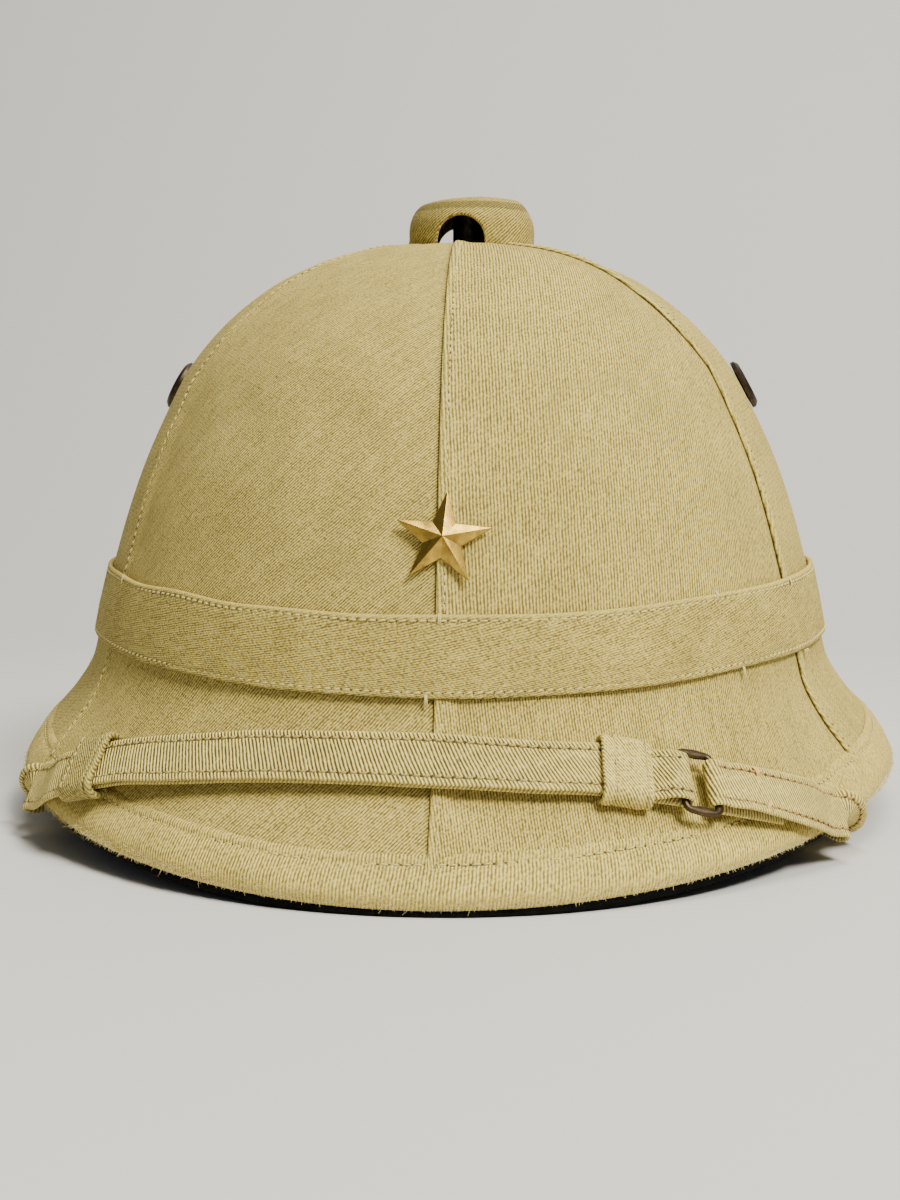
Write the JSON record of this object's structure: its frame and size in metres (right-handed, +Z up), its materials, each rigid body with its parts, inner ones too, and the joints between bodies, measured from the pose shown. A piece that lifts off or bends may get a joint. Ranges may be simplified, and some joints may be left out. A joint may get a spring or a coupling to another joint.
{
  "type": "pith helmet",
  "caption": "Cloth-covered pith helmet with a domed crown, flared brim, hatband, vent button, star badge and a chin strap worn over the brim.",
  "frame": {"origin": "on the ground under the middle of the helmet, which stands on its rim", "axes": "+Z up, front of the helmet towards -Y, the wearer's left side (the viewer's right) towards +X"},
  "size_m": [0.2554, 0.3292, 0.176],
  "materials": {
    "khaki_cloth": "matt khaki cotton twill, a little faded and stained",
    "strap_cloth": "matt pale khaki herringbone-like cotton webbing",
    "dark_lining": "matt black cloth over a stiff moulded wall",
    "brass": "worn satin brass",
    "dark_metal": "dark brown painted wire and sheet, worn"
  },
  "bodies": {
    "root": {"shell": "dark_lining", "hatband": "khaki_cloth", "rim_binding": "khaki_cloth", "vent_cap": "khaki_cloth", "vent_stem": "dark_metal", "side_vent_left": "dark_metal", "side_vent_right": "dark_metal", "star_badge": "brass", "strap_long": "strap_cloth", "strap_short": "strap_cloth", "strap_keeper_left": "strap_cloth", "strap_keeper_right": "strap_cloth", "strap_buckle": "dark_metal", "crown_panel_1": "khaki_cloth", "crown_panel_2": "khaki_cloth", "crown_panel_3": "khaki_cloth", "crown_panel_4": "khaki_cloth", "crown_panel_5": "khaki_cloth", "crown_panel_6": "khaki_cloth", "brim_panel_1": "khaki_cloth", "brim_panel_2": "khaki_cloth", "brim_panel_3": "khaki_cloth", "brim_panel_4": "khaki_cloth", "brim_panel_5": "khaki_cloth", "brim_panel_6": "khaki_cloth"}
  },
  "joints": []
}
